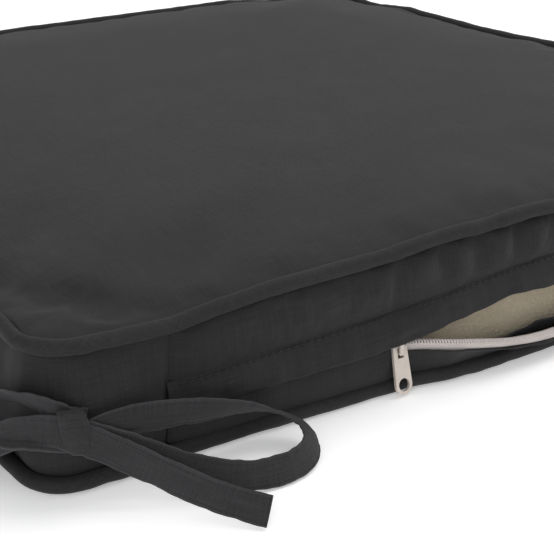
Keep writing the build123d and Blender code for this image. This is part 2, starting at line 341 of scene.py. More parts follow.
def foam_finish(name, colour):
    """Open-cell foam, slightly yellowed in patches."""
    graph = Graph(name)
    place = graph.object_place()
    cells = graph.node("ShaderNodeTexVoronoi", None, {"Vector": place, "Scale": 900.0}, "Distance")
    coarse = graph.noise(place, 60.0, 4.0, 0.6)
    patches = graph.noise(place, 14.0, 2.0)
    tone = cells * 0.35 + coarse * 0.5 + patches * 0.4
    colours = graph.node(
        "ShaderNodeValToRGB",
        {"stops": [(0.2, tinted(colour, 0.72)[:3]), (0.55, tuple(colour)),
                   (0.9, tinted(colour, 1.18)[:3])]}, {0: tone})
    normal = graph.bump(cells + coarse * 0.8, 0.7, 0.0004)
    return graph.finish(colours, 0.92, normal, {"Specular IOR Level": 0.2})


def tape_finish(name, colour):
    """Woven zip tape with a herringbone face."""
    graph = Graph(name)
    u, v = graph.cloth_place()
    ribs = (u * (pi / 0.45) + (v * (pi / 0.9)).sine() * 1.2).sine().size()
    grime = graph.noise(graph.join(u * 0.15, v * 0.4, 0.0), 1.0, 4.0, 0.65)
    fuzz = graph.noise(graph.join(u, v, 4.0), 2.0, 2.0)
    colours = graph.mix(
        grime * 0.55 + (1 - ribs) * 0.35 + fuzz * 0.1,
        tinted(colour, 1.08), tinted(colour, 0.78))
    normal = graph.bump(ribs + fuzz * 0.5, 0.6, 0.0002)
    return graph.finish(colours, 0.72 + fuzz * 0.15, normal, {"Sheen Weight": 0.1})


def nylon_finish(name, colour):
    """Moulded coil, slightly glossy."""
    graph = Graph(name)
    place = graph.object_place()
    tone = graph.noise(place, 220.0, 3.0)
    colours = graph.mix(tone, tinted(colour, 1.0), tinted(colour, 0.82))
    return graph.finish(colours, 0.34 + tone * 0.2, graph.bump(tone, 0.2, 0.0001))


def enamel_finish(name, colour):
    """Satin enamel on die-cast metal, rubbed a little thin at random."""
    graph = Graph(name)
    place = graph.object_place()
    orange_peel = graph.noise(place, 900.0, 2.0)
    rubbed = graph.noise(place, 160.0, 5.0, 0.7)
    colours = graph.mix(rubbed, tinted(colour, 1.12), tinted(colour, 0.80))
    normal = graph.bump(orange_peel + rubbed * 0.5, 0.16, 0.0002)
    return graph.finish(
        colours, 0.30 + rubbed * 0.22, normal,
        {"Coat Weight": 0.25, "Coat Roughness": 0.2, "Metallic": 0.25})


def floor_finish(name):
    graph = Graph(name)
    place = graph.object_place()
    tone = graph.noise(place, 3.0, 2.0)
    colours = graph.mix(tone, (0.93, 0.93, 0.93, 1), (0.90, 0.90, 0.905, 1))
    return graph.finish(colours, 0.6, None, {
        "Specular IOR Level": 0.15, "Emission Color": (1.0, 1.0, 1.0, 1.0), "Emission Strength": 0.28})


FINISHES = {}


def finish_of(slot):
    """The material of one slot, made once."""
    colours = bpy.context.scene.pad_finish
    cloth = tuple(colours.cloth)
    makers = {
        "cover_cloth": lambda: woven("cover_cloth", cloth, colours.weave),
        "piping_cloth": lambda: woven("piping_cloth", tinted(cloth, 0.92)[:3], colours.weave, True),
        "tie_ribbon": lambda: woven(
            "tie_ribbon", tinted(cloth, 1.45)[:3], colours.weave, edged=True),
        "tie_knot": lambda: woven("tie_knot", tinted(cloth, 1.3)[:3], colours.weave),
        "piping_filler": lambda: tape_finish("piping_filler", (0.72, 0.70, 0.66)),
        "thread": lambda: tape_finish("thread", (0.006, 0.006, 0.007)),
        "foam": lambda: foam_finish("foam", tuple(colours.foam)),
        "zip_tape": lambda: tape_finish("zip_tape", tuple(colours.tape)),
        "zip_coil": lambda: nylon_finish("zip_coil", tuple(colours.tape)),
        "zip_metal": lambda: enamel_finish("zip_metal", tuple(colours.zip_parts)),
        "floor": lambda: floor_finish("floor"),
    }
    if slot not in FINISHES:
        FINISHES[slot] = makers[slot]()
    return FINISHES[slot]


# ---------------------------------------------------------------- curves and meshes

def eased(places, keys, values):
    """Smooth curve through the values at the keys, level beyond them."""
    keys, values = np.asarray(keys, float), np.asarray(values, float)
    slopes = np.gradient(values, keys)
    flat = np.zeros(len(values), bool)
    steps = np.diff(values)
    flat[1:-1] = steps[:-1] * steps[1:] <= 0
    flat[[0, -1]] = True
    slopes[flat] = 0
    places = np.clip(places, keys[0], keys[-1])
    index = np.clip(np.searchsorted(keys, places) - 1, 0, len(keys) - 2)
    width = keys[index + 1] - keys[index]
    t = (places - keys[index]) / width
    return (
        (1 + 2 * t) * (1 - t) ** 2 * values[index] + t * (1 - t) ** 2 * width * slopes[index]
        + t * t * (3 - 2 * t) * values[index + 1] - t * t * (1 - t) * width * slopes[index + 1])


def ripple(places, seed, spacing, spread=0.5):
    """Smooth uneven wave of about unit height whose crests are roughly a spacing apart."""
    draw = np.random.default_rng(seed)
    total = np.zeros(np.shape(places))
    for share in (1.0, 0.61, 0.37, 1.63):
        phase = draw.uniform(0, tau)
        stretch = 1 + spread * draw.uniform(-0.3, 0.3)
        total += np.sin(np.asarray(places) / (spacing * share * stretch) * tau + phase) * share ** 0.6
    return total / 2.2


def outline(distance, inset=0.0):
    """Places and outward directions along the pad's wall, from the middle of the front."""
    run = (np.asarray(distance, float) + STRAIGHT) % AROUND
    quarter = np.floor(run / SIDE)
    along = run - quarter * SIDE
    turn = np.clip((along - 2 * STRAIGHT) / CORNER, 0, pi / 2)
    x = np.minimum(along, 2 * STRAIGHT) - STRAIGHT + (CORNER - inset) * np.sin(turn)
    y = -STRAIGHT - (CORNER - inset) * np.cos(turn)
    angle = quarter * pi / 2
    place = np.stack([x * np.cos(angle) - y * np.sin(angle), x * np.sin(angle) + y * np.cos(angle)], -1)
    out_x, out_y = np.sin(turn), -np.cos(turn)
    out = np.stack(
        [out_x * np.cos(angle) - out_y * np.sin(angle),
         out_x * np.sin(angle) + out_y * np.cos(angle)], -1)
    return place, out


def from_corner(distance):
    """Distance along the wall to the nearest corner's middle."""
    run = (np.asarray(distance, float) + STRAIGHT) % SIDE
    return np.abs((run - 2 * STRAIGHT - BEND / 2 + SIDE / 2) % SIDE - SIDE / 2)


def top_rise(distance):
    """The upper seam dips towards each corner and lifts between them."""
    dip = eased(
        from_corner(distance),
        [0, 0.022, 0.042, 0.062, 0.085, 0.11, 0.13, 0.15, 0.175, 0.2],
        [-0.0040, -0.0045, -0.0052, -0.0034, -0.0014, -0.0008, -0.0006, 0.0012, 0.0017, 0.0030])
    wall = np.cos((np.asarray(distance) - REAR_MIDDLE) / AROUND * tau)
    rear = np.clip(0.5 + wall * 2.0, 0, 1)
    dip = np.where(dip > -0.002, -0.002 + (dip + 0.002) * rear, dip)
    beside_tie = np.exp(-((np.asarray(distance) - SIDE - STRAIGHT + 0.014) / 0.018) ** 2)
    return dip + 0.0026 * beside_tie + 0.00012 * ripple(distance, 11, 0.05)


def rear_push(x):
    """How far the rear wall's foot stands out from its straight line."""
    return eased(
        x, [-0.17, -0.12, -0.06, -0.015, 0.022, 0.037, 0.046, 0.053, 0.066, 0.10, 0.152, 0.175],
        [0.0, 0.0012, 0.0026, 0.0028, 0.0040, 0.0040, 0.0024, 0.0006, -0.0002, -0.0014, -0.0020, 0.0])


def tucked(x, depth):
    """How far a rear strip is drawn in towards its upright seams."""
    return depth * np.exp((np.abs(x) - ZIP_END) / 0.004)


def on_rear(out):
    """One where an outward direction belongs to the rear wall, fading out round its corners."""
    return np.clip(out[..., 1], 0, 1) ** 2


def seam_line(distance, inset, top):
    """Places along the upper or lower seam, with its dips and pushes, and outward directions."""
    place, out = outline(distance, inset)
    rise = UPPER_SEAM + top_rise(distance) if top else LOWER_SEAM + 0.0002 * ripple(distance, 5, 0.06)
    if not top:
        push = rear_push(place[..., 0]) * on_rear(out)
        place = place + out * push[..., None]
    sway = (0.0002 if top else 0.0003) * ripple(distance, 21 if top else 22, 0.07)
    place = place + out * sway[..., None]
    return np.concatenate([place, np.asarray(rise)[..., None]], -1), out


def grid_faces(rows, columns, wrap=False, first=0):
    """Quads of a grid, joined round its columns if it wraps."""
    last = columns if wrap else columns - 1
    faces = []
    for row in range(rows - 1):
        for column in range(last):
            after = (column + 1) % columns
            faces.append((
                first + row * columns + column, first + row * columns + after,
                first + (row + 1) * columns + after, first + (row + 1) * columns + column))
    return faces


def length_along(line):
    """Length from a line's start to each of its points."""
    run = np.zeros(len(line))
    run[1:] = np.linalg.norm(np.diff(line, axis=0), axis=1).cumsum()
    return run


def distances(grid):
    """Lengths along a grid's rows and columns, as places on the flat cloth."""
    across = np.zeros(grid.shape[:2])
    down = np.zeros(grid.shape[:2])
    across[:, 1:] = np.linalg.norm(np.diff(grid, axis=1), axis=-1).cumsum(1)
    down[1:] = np.linalg.norm(np.diff(grid, axis=0), axis=-1).cumsum(0)
    across[:] = across.mean(0)
    return np.stack([across, down], -1)


def mesh_from(name, points, faces, cloth):
    """Mesh with its place on the flat cloth kept as a UV map."""
    mesh = bpy.data.meshes.new(name)
    mesh.from_pydata([tuple(p) for p in np.asarray(points, float).tolist()], [], faces)
    layer = mesh.uv_layers.new(name="cloth")
    corners = np.empty(len(mesh.loops), np.int32)
    mesh.loops.foreach_get("vertex_index", corners)
    layer.data.foreach_set("uv", np.asarray(cloth, np.float32).reshape(-1, 2)[corners].ravel())
    mesh.polygons.foreach_set("use_smooth", [True] * len(mesh.polygons))
    mesh.update()
    return mesh


def capped(mesh, rows, columns):
    """Close both ends of a mesh whose rows are rings."""
    work = bmesh.new()
    work.from_mesh(mesh)
    work.verts.ensure_lookup_table()
    for end in (0, rows - 1):
        work.faces.new([work.verts[end * columns + k] for k in range(columns)])
    return finished(mesh, work)


def finished(mesh, work):
    """Write a bmesh back with its faces outwards and smooth."""
    bmesh.ops.recalc_face_normals(work, faces=work.faces)
    for face in work.faces:
        face.smooth = True
    work.to_mesh(mesh)
    work.free()
    return mesh


def piece(name, mesh, slot, *replaced, body="cushion", finish=None):
    """Object for one piece: it rides on its body, has its finish and stands for its CAD nodes."""
    made = bpy.data.objects.new(name, mesh)
    bpy.context.scene.collection.objects.link(made)
    made.data.materials.clear()
    made.data.materials.append(finish_of(finish or slot))
    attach(made, body)
    if replaced:
        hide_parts(*replaced)
    return made


def shaped(made, *modifiers):
    """Apply modifiers to an object: each is a type and its settings."""
    for number, (kind, settings) in enumerate(modifiers):
        modifier = made.modifiers.new(f"shape {number}", kind)
        for name, value in settings.items():
            setattr(modifier, name, value)
    bpy.context.view_layer.update()
    graph = bpy.context.evaluated_depsgraph_get()
    mesh = bpy.data.meshes.new_from_object(made.evaluated_get(graph))
    made.modifiers.clear()
    old, made.data = made.data, mesh
    bpy.data.meshes.remove(old)
    mesh.name = made.name
    return made


def sheet_piece(name, grid, slot, *replaced, levels=1, thick=None, flip=False):
    """Cloth piece from a grid of places, made smooth and given its thickness inwards."""
    if thick is None:
        thick = bpy.context.scene.pad_settings.cloth
    faces = grid_faces(*grid.shape[:2])
    if flip:
        faces = [face[::-1] for face in faces]
    mesh = mesh_from(name, grid.reshape(-1, 3), faces, distances(grid))
    made = piece(name, mesh, slot, *replaced)
    steps = []
    if levels:
        steps.append(("SUBSURF", {"levels": levels, "render_levels": levels}))
    if thick:
        steps.append(("SOLIDIFY", {"thickness": thick, "offset": -1.0, "use_rim": True}))
    return shaped(made, *steps) if steps else made


def solid_tube(name, centres, across, up, radius, sides, closed):
    """Closed mesh round a line, with a cloth map that runs along it; its radius may vary."""
    radius = np.broadcast_to(np.asarray(radius, float), (len(centres), sides))
    angles = np.arange(sides) / sides * tau
    ring = (across[:, None] * np.cos(angles)[None, :, None]
            + up[:, None] * np.sin(angles)[None, :, None])
    grid = centres[:, None] + ring * radius[..., None]
    if closed:
        grid = np.concatenate([grid, grid[:1]])
    rows = len(grid)
    # A ring's seam is doubled so that the cloth map doesn't fold back on itself.
    grid = np.concatenate([grid, grid[:, :1]], 1)
    line = np.concatenate([centres, centres[:1]]) if closed else centres
    along = length_along(line)
    turn = np.arange(sides + 1) / sides * tau * float(radius.mean())
    cloth = np.stack(np.broadcast_arrays(along[:, None], turn[None, :]), -1)
    faces = grid_faces(rows, sides + 1)
    mesh = mesh_from(name, grid.reshape(-1, 3), faces, cloth.reshape(-1, 2))
    work = bmesh.new()
    work.from_mesh(mesh)
    bmesh.ops.remove_doubles(work, verts=work.verts, dist=1e-6)
    if not closed:
        edges = [edge for edge in work.edges if edge.is_boundary]
        bmesh.ops.holes_fill(work, edges=edges)
    bmesh.ops.recalc_face_normals(work, faces=work.faces)
    work.to_mesh(mesh)
    work.free()
    return mesh


# ---------------------------------------------------------------- the cover's shape

def square_to_pad(u, v):
    """Ring of a square that u, v from -1 to 1 lie on, and their place on the pad's rounded outline."""
    ring = np.maximum(np.abs(u), np.abs(v))
    safe = np.where(ring > 0, ring, 1)
    edge_x, edge_y = u / safe * HALF, v / safe * HALF
    over_x = np.clip(np.abs(edge_x) - STRAIGHT, 0, None)
    over_y = np.clip(np.abs(edge_y) - STRAIGHT, 0, None)
    both = (over_x > 0) & (over_y > 0)
    reach = np.where(both, np.hypot(over_x, over_y), 1)
    scale = np.where(both, CORNER / reach, 1)
    sign_x, sign_y = np.sign(edge_x), np.sign(edge_y)
    round_x = np.where(both, sign_x * (STRAIGHT + over_x * scale), edge_x)
    round_y = np.where(both, sign_y * (STRAIGHT + over_y * scale), edge_y)
    return ring, round_x, round_y


def run_of(x, y):
    """Distance along the outline, from the middle of the front, of a place on it."""
    quarter = np.where(
        np.abs(y) >= np.abs(x), np.where(y < 0, 0, 2), np.where(x > 0, 1, 3))
    angle = -quarter * pi / 2
    turned_x = x * np.cos(angle) - y * np.sin(angle)
    turned_y = x * np.sin(angle) + y * np.cos(angle)
    past = np.clip(np.abs(turned_x) - STRAIGHT, 0, None)
    bend = np.arctan2(past, np.clip(-turned_y - STRAIGHT, 1e-9, None))
    beside = np.minimum(np.abs(turned_x), STRAIGHT) + np.clip(bend, 0, pi / 4) * CORNER
    return quarter * SIDE + np.sign(turned_x) * beside


def panel_grid(half_cells, top):
    """Grid of the top or bottom panel, denser towards its seam."""
    steps = np.linspace(-1, 1, 2 * half_cells + 1)
    lines = steps + 0.45 * np.sin(pi * steps) / pi
    u, v = np.meshgrid(lines, lines)
    ring, edge_x, edge_y = square_to_pad(u, v)
    run = run_of(edge_x, edge_y)
    seam, _ = seam_line(run, PANEL_INSET, top)
    plan = seam[..., :2] * ring[..., None]
    inward = (1 - ring) * HALF                      # distance from the seam
    if top:
        level = seam[..., 2] + PIPING_RADIUS + 0.0002
        crown = bpy.context.scene.pad_settings.crown
        roll = 1 - np.exp(-inward / 0.011)
        swell = np.sin(np.clip(inward / 0.13, 0, 1) * pi / 2) ** 1.2
        even = UPPER_SEAM + PIPING_RADIUS + 0.0015
        blend = ease(np.clip(inward / 0.07, 0, 1))
        height = level * (1 - blend) + even * blend + crown * (0.42 * roll + 0.58 * swell)
        folds = 0.00030 * ripple(run, 31, 0.021) * np.exp(-inward / 0.016) * np.clip(inward / 0.006, 0, 1)
        broad = 0.0004 * np.sin(plan[..., 0] / 0.061 + 1.3) * np.sin(plan[..., 1] / 0.083 + 0.4)
        height = height + folds + broad * swell
    else:
        level = seam[..., 2] - PIPING_RADIUS - 0.0002
        settle = np.exp(-inward / 0.010)
        height = 0.0003 + (level - 0.0003) * settle
    return np.concatenate([plan, height[..., None]], -1)


def topstitch_height(x):
    """Height of the row that holds the flap, along the rear wall."""
    return eased(
        x, [-0.152, -0.11, -0.06, -0.014, 0.0226, 0.0516, 0.0829, 0.1124, 0.152],
        [0.0300, 0.0345, 0.0376, 0.0378, 0.0358, 0.0328, 0.0312, 0.0303, 0.0285])


def wall_grid(start, stop, columns, rows, lowest, seed):
    """Grid of the boxing between two runs along the outline, from a lowest line to the upper seam."""
    run = np.linspace(start, stop, columns)
    high, out = seam_line(run, 0.0031, True)
    high[:, 2] += 0.0004
    foot, _ = seam_line(run, 0.0021, False)
    foot[:, 2] -= 0.0002
    bottom = foot if lowest is None else lowest(run, high, out)
    share = np.linspace(0, 1, rows)[:, None]
    grid = bottom[None] * (1 - share[..., None]) + high[None] * share[..., None]
    ends = np.minimum(run - run[0], run[-1] - run)
    held = 1 - np.exp(-ends / 0.0045)                     # sewn down at the upright seams
    belly = 0.0029 * np.sin(share * pi) ** 0.7 * held[None]
    puckers = (
        0.00055 * ripple(run, seed, 0.017)[None] * share ** 2
        + 0.0004 * ripple(run, seed + 1, 0.034)[None] * (1 - share))
    puckers = puckers * np.sin(share * pi) ** 0.5 * held[None]
    grid[..., :2] += out[None] * (belly + puckers)[..., None]
    return grid


def turned_in(grid, reach):
    """Grid with a narrow allowance that runs under its neighbour at both upright seams."""
    sides = []
    for inner in (grid[:, :1].copy(), grid[:, -1:].copy()):
        inner[..., 0] += reach * np.sign(inner[..., 0])
        inner[..., 1] -= 0.0018
        sides.append(inner)
    return np.concatenate([sides[0], grid, sides[1]], axis=1)


def gathers(x, share):
    """Upright folds of the rear wall under the upper seam, deepest over the open zip."""
    folds = (
        (0.098, 0.006, 0.0004, 0.1), (0.083, 0.005, -0.0006, 0.2), (0.070, 0.007, 0.0007, -0.2),
        (0.058, 0.004, -0.0009, 0.25), (0.049, 0.005, 0.0011, 0.2), (0.040, 0.004, -0.0012, -0.15),
        (0.032, 0.0045, 0.0013, 0.3), (0.023, 0.004, -0.0012, 0.1), (0.014, 0.005, 0.0014, -0.2),
        (0.005, 0.0035, -0.0013, 0.2), (-0.004, 0.005, 0.0013, 0.15), (-0.015, 0.0045, -0.0012, -0.1),
        (-0.027, 0.006, 0.0012, 0.2), (-0.040, 0.005, -0.0010, 0.1), (-0.055, 0.007, 0.0011, -0.2),
        (-0.071, 0.006, -0.0008, 0.2), (-0.090, 0.008, 0.0008, 0.1), (-0.112, 0.007, -0.0005, 0.1))
    total = np.zeros(np.broadcast(x, share).shape)
    for middle, width, depth, lean in folds:
        centre = middle + lean * (1 - share) * 0.02
        total = total + depth * np.exp(-((x - centre) / width) ** 2)
    return total


def settle_cloth(grids, pinned):
    """Swell the cover's grids together by cloth simulation, and give them back where they come to rest."""
    pad = bpy.context.scene.pad_settings
    starts, faces, points, cloth = [], [], [], []
    for grid in grids:
        starts.append(len(points))
        faces += grid_faces(*grid.shape[:2], first=len(points))
        points += grid.reshape(-1, 3).tolist()
        cloth += distances(grid).reshape(-1, 2).tolist()
    before = np.array(points)
    draw = np.random.default_rng(pad.seed)
    mesh = mesh_from("cover_blank", before + draw.normal(0, 0.00012, before.shape), faces, cloth)
    blank = bpy.data.objects.new("cover_blank", mesh)
    bpy.context.scene.collection.objects.link(blank)
    group = blank.vertex_groups.new(name="sewn")
    sewn = np.concatenate([edge.ravel() for edge in pinned])
    group.add(np.nonzero(sewn)[0].tolist(), 1.0, "REPLACE")
    cloth_modifier = blank.modifiers.new("cloth", "CLOTH")
    settings = cloth_modifier.settings
    settings.quality = 5
    settings.mass = 0.25
    settings.tension_stiffness = settings.compression_stiffness = 18
    settings.shear_stiffness = 8
    settings.bending_stiffness = 0.35
    settings.vertex_group_mass = "sewn"
    settings.shrink_min = -pad.spare_cloth
    settings.use_pressure = True
    settings.uniform_pressure_force = pad.pressure
    settings.effector_weights.gravity = 0
    cloth_modifier.point_cache.frame_start = 1
    cloth_modifier.point_cache.frame_end = pad.frames
    scene = bpy.context.scene
    for number in range(1, pad.frames + 1):
        scene.frame_set(number)
    graph = bpy.context.evaluated_depsgraph_get()
    settled = blank.evaluated_get(graph).to_mesh()
    after = np.empty(len(before) * 3)
    settled.vertices.foreach_get("co", after)
    after = after.reshape(-1, 3)
    scene.frame_set(1)
    bpy.data.objects.remove(blank)
    bpy.data.meshes.remove(mesh)
    move = after - before
    far = np.linalg.norm(move, axis=1, keepdims=True)
    move *= np.minimum(1, pad.reach / np.maximum(far, 1e-9)) * (1 - 0.35 * np.clip(far / pad.reach, 0, 1))
    after = before + np.where(sewn[:, None], 0, move)
    return [after[start:start + grid.size // 3].reshape(grid.shape)
            for start, grid in zip(starts, grids)]


def edge_pins(grid):
    """True on the sewn rim of a grid."""
    pins = np.zeros(grid.shape[:2], bool)
    pins[[0, -1]] = True
    pins[:, [0, -1]] = True
    return pins


# ---------------------------------------------------------------- operators

class PAD_OT_camera(bpy.types.Operator):
    """Place the camera at the pad's tied corner"""
    bl_idname = "pad.camera"
    bl_label = "Camera"

    def execute(self, context):
        azimuth, elevation, distance = radians(146.15), radians(22.29), 0.55502
        back = Vector((sin(azimuth) * cos(elevation), -cos(azimuth) * cos(elevation), sin(elevation)))
        camera = bpy.data.objects.new("camera", bpy.data.cameras.new("camera"))
        context.scene.collection.objects.link(camera)
        camera.data.lens, camera.data.sensor_width = 93.1, 36.0
        camera.data.clip_start = 0.01
        camera.location = Vector((0.06931, 0.13577, 0.025)) + back * distance
        camera.rotation_euler = back.to_track_quat("Z", "Y").to_euler()
        context.scene.camera = camera
        return {"FINISHED"}


def smooth_line(route, mirror):
    """Places along the smooth line that a strap's route controls, and how far along the route each is."""
    curve = bpy.data.curves.new("route", "CURVE")
    curve.dimensions = "3D"
    curve.resolution_u = 14
    spline = curve.splines.new("NURBS")
    spline.points.add(len(route) - 1)
    for point, place in zip(spline.points, route):
        point.co = (place[0] * mirror, place[1], place[2], 1)
    spline.order_u = 3
    spline.use_endpoint_u = True
    holder = bpy.data.objects.new("route", curve)
    bpy.context.scene.collection.objects.link(holder)
    mesh = bpy.data.meshes.new_from_object(holder)
    line = np.array([vertex.co for vertex in mesh.vertices])
    bpy.data.objects.remove(holder)
    bpy.data.meshes.remove(mesh)
    share = np.linspace(0, len(route) - 2, len(line))
    count = np.clip(share + 0.5, 0.5, len(route) - 1.5)
    count[0], count[-1] = 0, len(route) - 1
    return line, count


def strap_mesh(name, line, lean, share, seed, mirror):
    """Flat doubled strap along a line: rounded folds, a stitched edge and slight waviness."""
    tie = bpy.context.scene.pad_ties
    ahead = np.gradient(line, axis=0)
    ahead /= np.linalg.norm(ahead, axis=1, keepdims=True)
    side = np.cross(ahead, (0, 0, 1)) * mirror
    side /= np.linalg.norm(side, axis=1, keepdims=True)
    upright = np.cross(side * mirror, ahead)
    lean = np.radians(lean)[:, None]
    width = np.cos(lean) * upright + np.sin(lean) * side
    face = np.cross(ahead, width)
    half, thick = tie.width / 2, tie.thickness / 2
    full = eased(share, [0, 1, 2, 3.2], [0.35, 0.45, 0.75, 1])     # gathered at the sewn root
    places = np.array([-1, -0.985, -0.94, -0.86, -0.78, -0.72, -0.5, -0.25, 0, 0.25, 0.5,
                       0.74, 0.86, 0.94, 0.985, 1])
    body = np.array([0.05, 0.55, 0.85, 0.95, 0.55, 0.9, 1.0, 1.05, 1.05, 1.02, 1.0,
                     0.98, 0.95, 0.85, 0.55, 0.05])
    around = np.concatenate([places, places[-2:0:-1]])
    stand = np.concatenate([body, -body[-2:0:-1]])
    run = length_along(line)
    cup = 0.00045 * ripple(run, seed, 0.05)[:, None] * (around[None] ** 2 - 0.4)
    edge = 0.00018 * ripple(run, seed + 1, 0.013)[:, None] * around[None] ** 2
    pucker = 0.00010 * ripple(run, seed + 2, 0.0045)[:, None] * np.abs(around[None])
    aside = (around * half)[None, :, None] * (full[:, None] + edge / half)[..., None]
    proud = (stand[None] * thick + cup + edge + pucker)[..., None]
    grid = line[:, None] + width[:, None] * aside + face[:, None] * proud
    grid[..., 2] = np.maximum(grid[..., 2], 0.0002)
    rows, columns = grid.shape[:2]
    cloth = np.stack(np.broadcast_arrays(run[:, None], (around * half)[None]), -1)
    mesh = mesh_from(name, grid.reshape(-1, 3), grid_faces(rows, columns, True), cloth.reshape(-1, 2))
    work = bmesh.new()
    work.from_mesh(mesh)
    work.verts.ensure_lookup_table()
    for end in (0, rows - 1):
        ring = [work.verts[end * columns + k] for k in range(columns)]
        for k in range(1, columns // 2):
            low, high = ring[k], ring[-k]
            after_low, after_high = ring[k + 1], ring[-k - 1] if k + 1 < columns // 2 else ring[k + 1]
            corners = [low, high, after_high, after_low]
            corners = [v for n, v in enumerate(corners) if v not in corners[:n]]
            work.faces.new(corners if end == 0 else corners[::-1])
        work.faces.new([ring[0], ring[-1], ring[1]] if end == 0 else [ring[0], ring[1], ring[-1]])
    return finished(mesh, work)


def knot_mesh(name, mirror):
    """Band of cloth pulled tight round the two straps: wrapped, folded and pinched."""
    rows, columns = 34, 56
    angle = np.arange(columns) / columns * tau
    rise = np.linspace(-1, 1, rows)
    grid = np.zeros((rows, columns, 3))
    for row, level in enumerate(rise):
        waist = (1 - abs(level) ** 10) ** (1 / 3.6) if abs(level) < 1 else 0.0
        waist = max(waist, 0.02)
        lean = 0.0009 * level
        for column, around in enumerate(angle):
            c, s = cos(around), sin(around)
            square = (abs(c) ** 3.4 + abs(s) ** 3.4) ** (-1 / 3.4)
            crease = 0.05 * np.exp(-((around - 1.05 - 0.35 * level) / 0.10) ** 2)
            crease += 0.045 * np.exp(-((around - 2.45 + 0.30 * level) / 0.09) ** 2)
            crease += 0.06 * np.exp(-((level - 0.62 + 0.25 * c) / 0.07) ** 2) * max(0, s)
            crease += 0.03 * np.exp(-((level + 0.15 - 0.35 * c) / 0.10) ** 2)
            lap = 0.05 * (1 if 0.2 < around < 2.2 else 0)
            swell = 1 + 0.06 * cos(level * pi / 2) + lap * 0.5 - crease
            grid[row, column] = (
                0.0045 * square * c * waist * swell + lean,
                0.0044 * square * s * waist * swell,
                0.0070 * level * (1 + 0.03 * sin(2 * around)))
    grid[..., 2] += 0.22 * grid[..., 0]
    turn = radians(-15)
    x, y = grid[..., 0].copy(), grid[..., 1].copy()
    grid[..., 0], grid[..., 1] = x * cos(turn) - y * sin(turn), x * sin(turn) + y * cos(turn)
    grid += np.array(KNOT_MIDDLE)
    grid[..., 0] *= mirror
    cloth = distances(grid)
    mesh = mesh_from(name, grid.reshape(-1, 3), grid_faces(rows, columns, True), cloth)
    return capped(mesh, rows, columns)


class PAD_OT_ties(bpy.types.Operator):
    """Make both corners' straps and their knots"""
    bl_idname = "pad.ties"
    bl_label = "Corner Ties"

    def execute(self, context):
        for corner, mirror in (("right", 1), ("left", -1)):
            knot_name = f"tie_{corner}_knot"
            knot = piece(
                f"{corner}_tie_knot", knot_mesh(knot_name, mirror), "tie_ribbon", knot_name,
                finish="tie_knot")
            for strap, route, lean, seed in (
                ("side", SIDE_STRAP_ROUTE, SIDE_STRAP_LEAN, 40),
                ("rear", REAR_STRAP_ROUTE, REAR_STRAP_LEAN, 50),
            ):
                line, count = smooth_line(route, mirror)
                mesh = strap_mesh(f"{corner}_{strap}", line, eased(count, *lean), count, seed, mirror)
                made = piece(
                    f"{corner}_tie_{strap}_strap", mesh, "tie_ribbon", f"tie_{corner}_{strap}_strap")
                length = float(length_along(line)[-1])
        return {"FINISHED"}


class PAD_OT_cover(bpy.types.Operator):
    """Cut, sew and swell the cover's panels"""
    bl_idname = "pad.cover"
    bl_label = "Cover"

    def execute(self, context):
        top = panel_grid(40, True)
        bottom = panel_grid(26, False)
        edge = ZIP_END - 0.0004
        walls = wall_grid(REAR_MIDDLE + edge, REAR_MIDDLE - edge + AROUND, 330, 14, None, 61)

        def flap_row(run, high, out):
            row = high.copy()
            x = high[:, 0]
            row[:, 2] = topstitch_height(x)
            share = (row[:, 2] - LOWER_SEAM) / (UPPER_SEAM - LOWER_SEAM)
            row[:, 1] = HALF - 0.0002 - tucked(x, 0.0016) + rear_push(x) * (1 - share) * 0.6
            return row

        rear = wall_grid(REAR_MIDDLE - ZIP_END, REAR_MIDDLE + ZIP_END, 150, 12, flap_row, 71)
        top, walls, rear = settle_cloth(
            [top, walls, rear], [edge_pins(top), edge_pins(walls), edge_pins(rear)])
        share = np.linspace(0, 1, rear.shape[0])[:, None]
        depth = 2.2 * gathers(rear[..., 0], share) * np.sin(share * pi) ** 0.5 * (0.3 + 0.7 * share)
        rear[..., 1] += depth
        self.crease(walls)
        top_piece = sheet_piece("top_panel_cover", top, "cover_cloth", "top_panel")
        sheet_piece("bottom_panel_cover", bottom, "cover_cloth", "bottom_panel", flip=True,
                    thick=0.0)
        sheet_piece("boxing_cover", turned_in(walls, -0.0012), "cover_cloth", "boxing_band")
        REAR["row"] = rear[0]
        sheet_piece("rear_upper_cover", turned_in(rear, 0.0022), "cover_cloth")
        return {"FINISHED"}

    @staticmethod
    def crease(walls):
        """Pull the boxing in where a tie is sewn on and crease it towards the tie."""
        for mirror in (1, -1):
            x, y, z = walls[..., 0] * mirror, walls[..., 1], walls[..., 2]
            near = np.exp(-(((x - 0.188) / 0.012) ** 2 + ((y - HALF) / 0.02) ** 2))
            above = (z - 0.027) - 0.9 * (0.186 - x)         # height above the crease's sloping line
            ridge = 0.0011 * np.exp(-(above / 0.0028) ** 2)
            hollow = 0.0009 * np.exp(-((above - 0.005) / 0.003) ** 2)
            walls[..., 1] += near * (ridge - hollow)


REAR = {}                    # "row": the fold above the flap, once the cover has settled


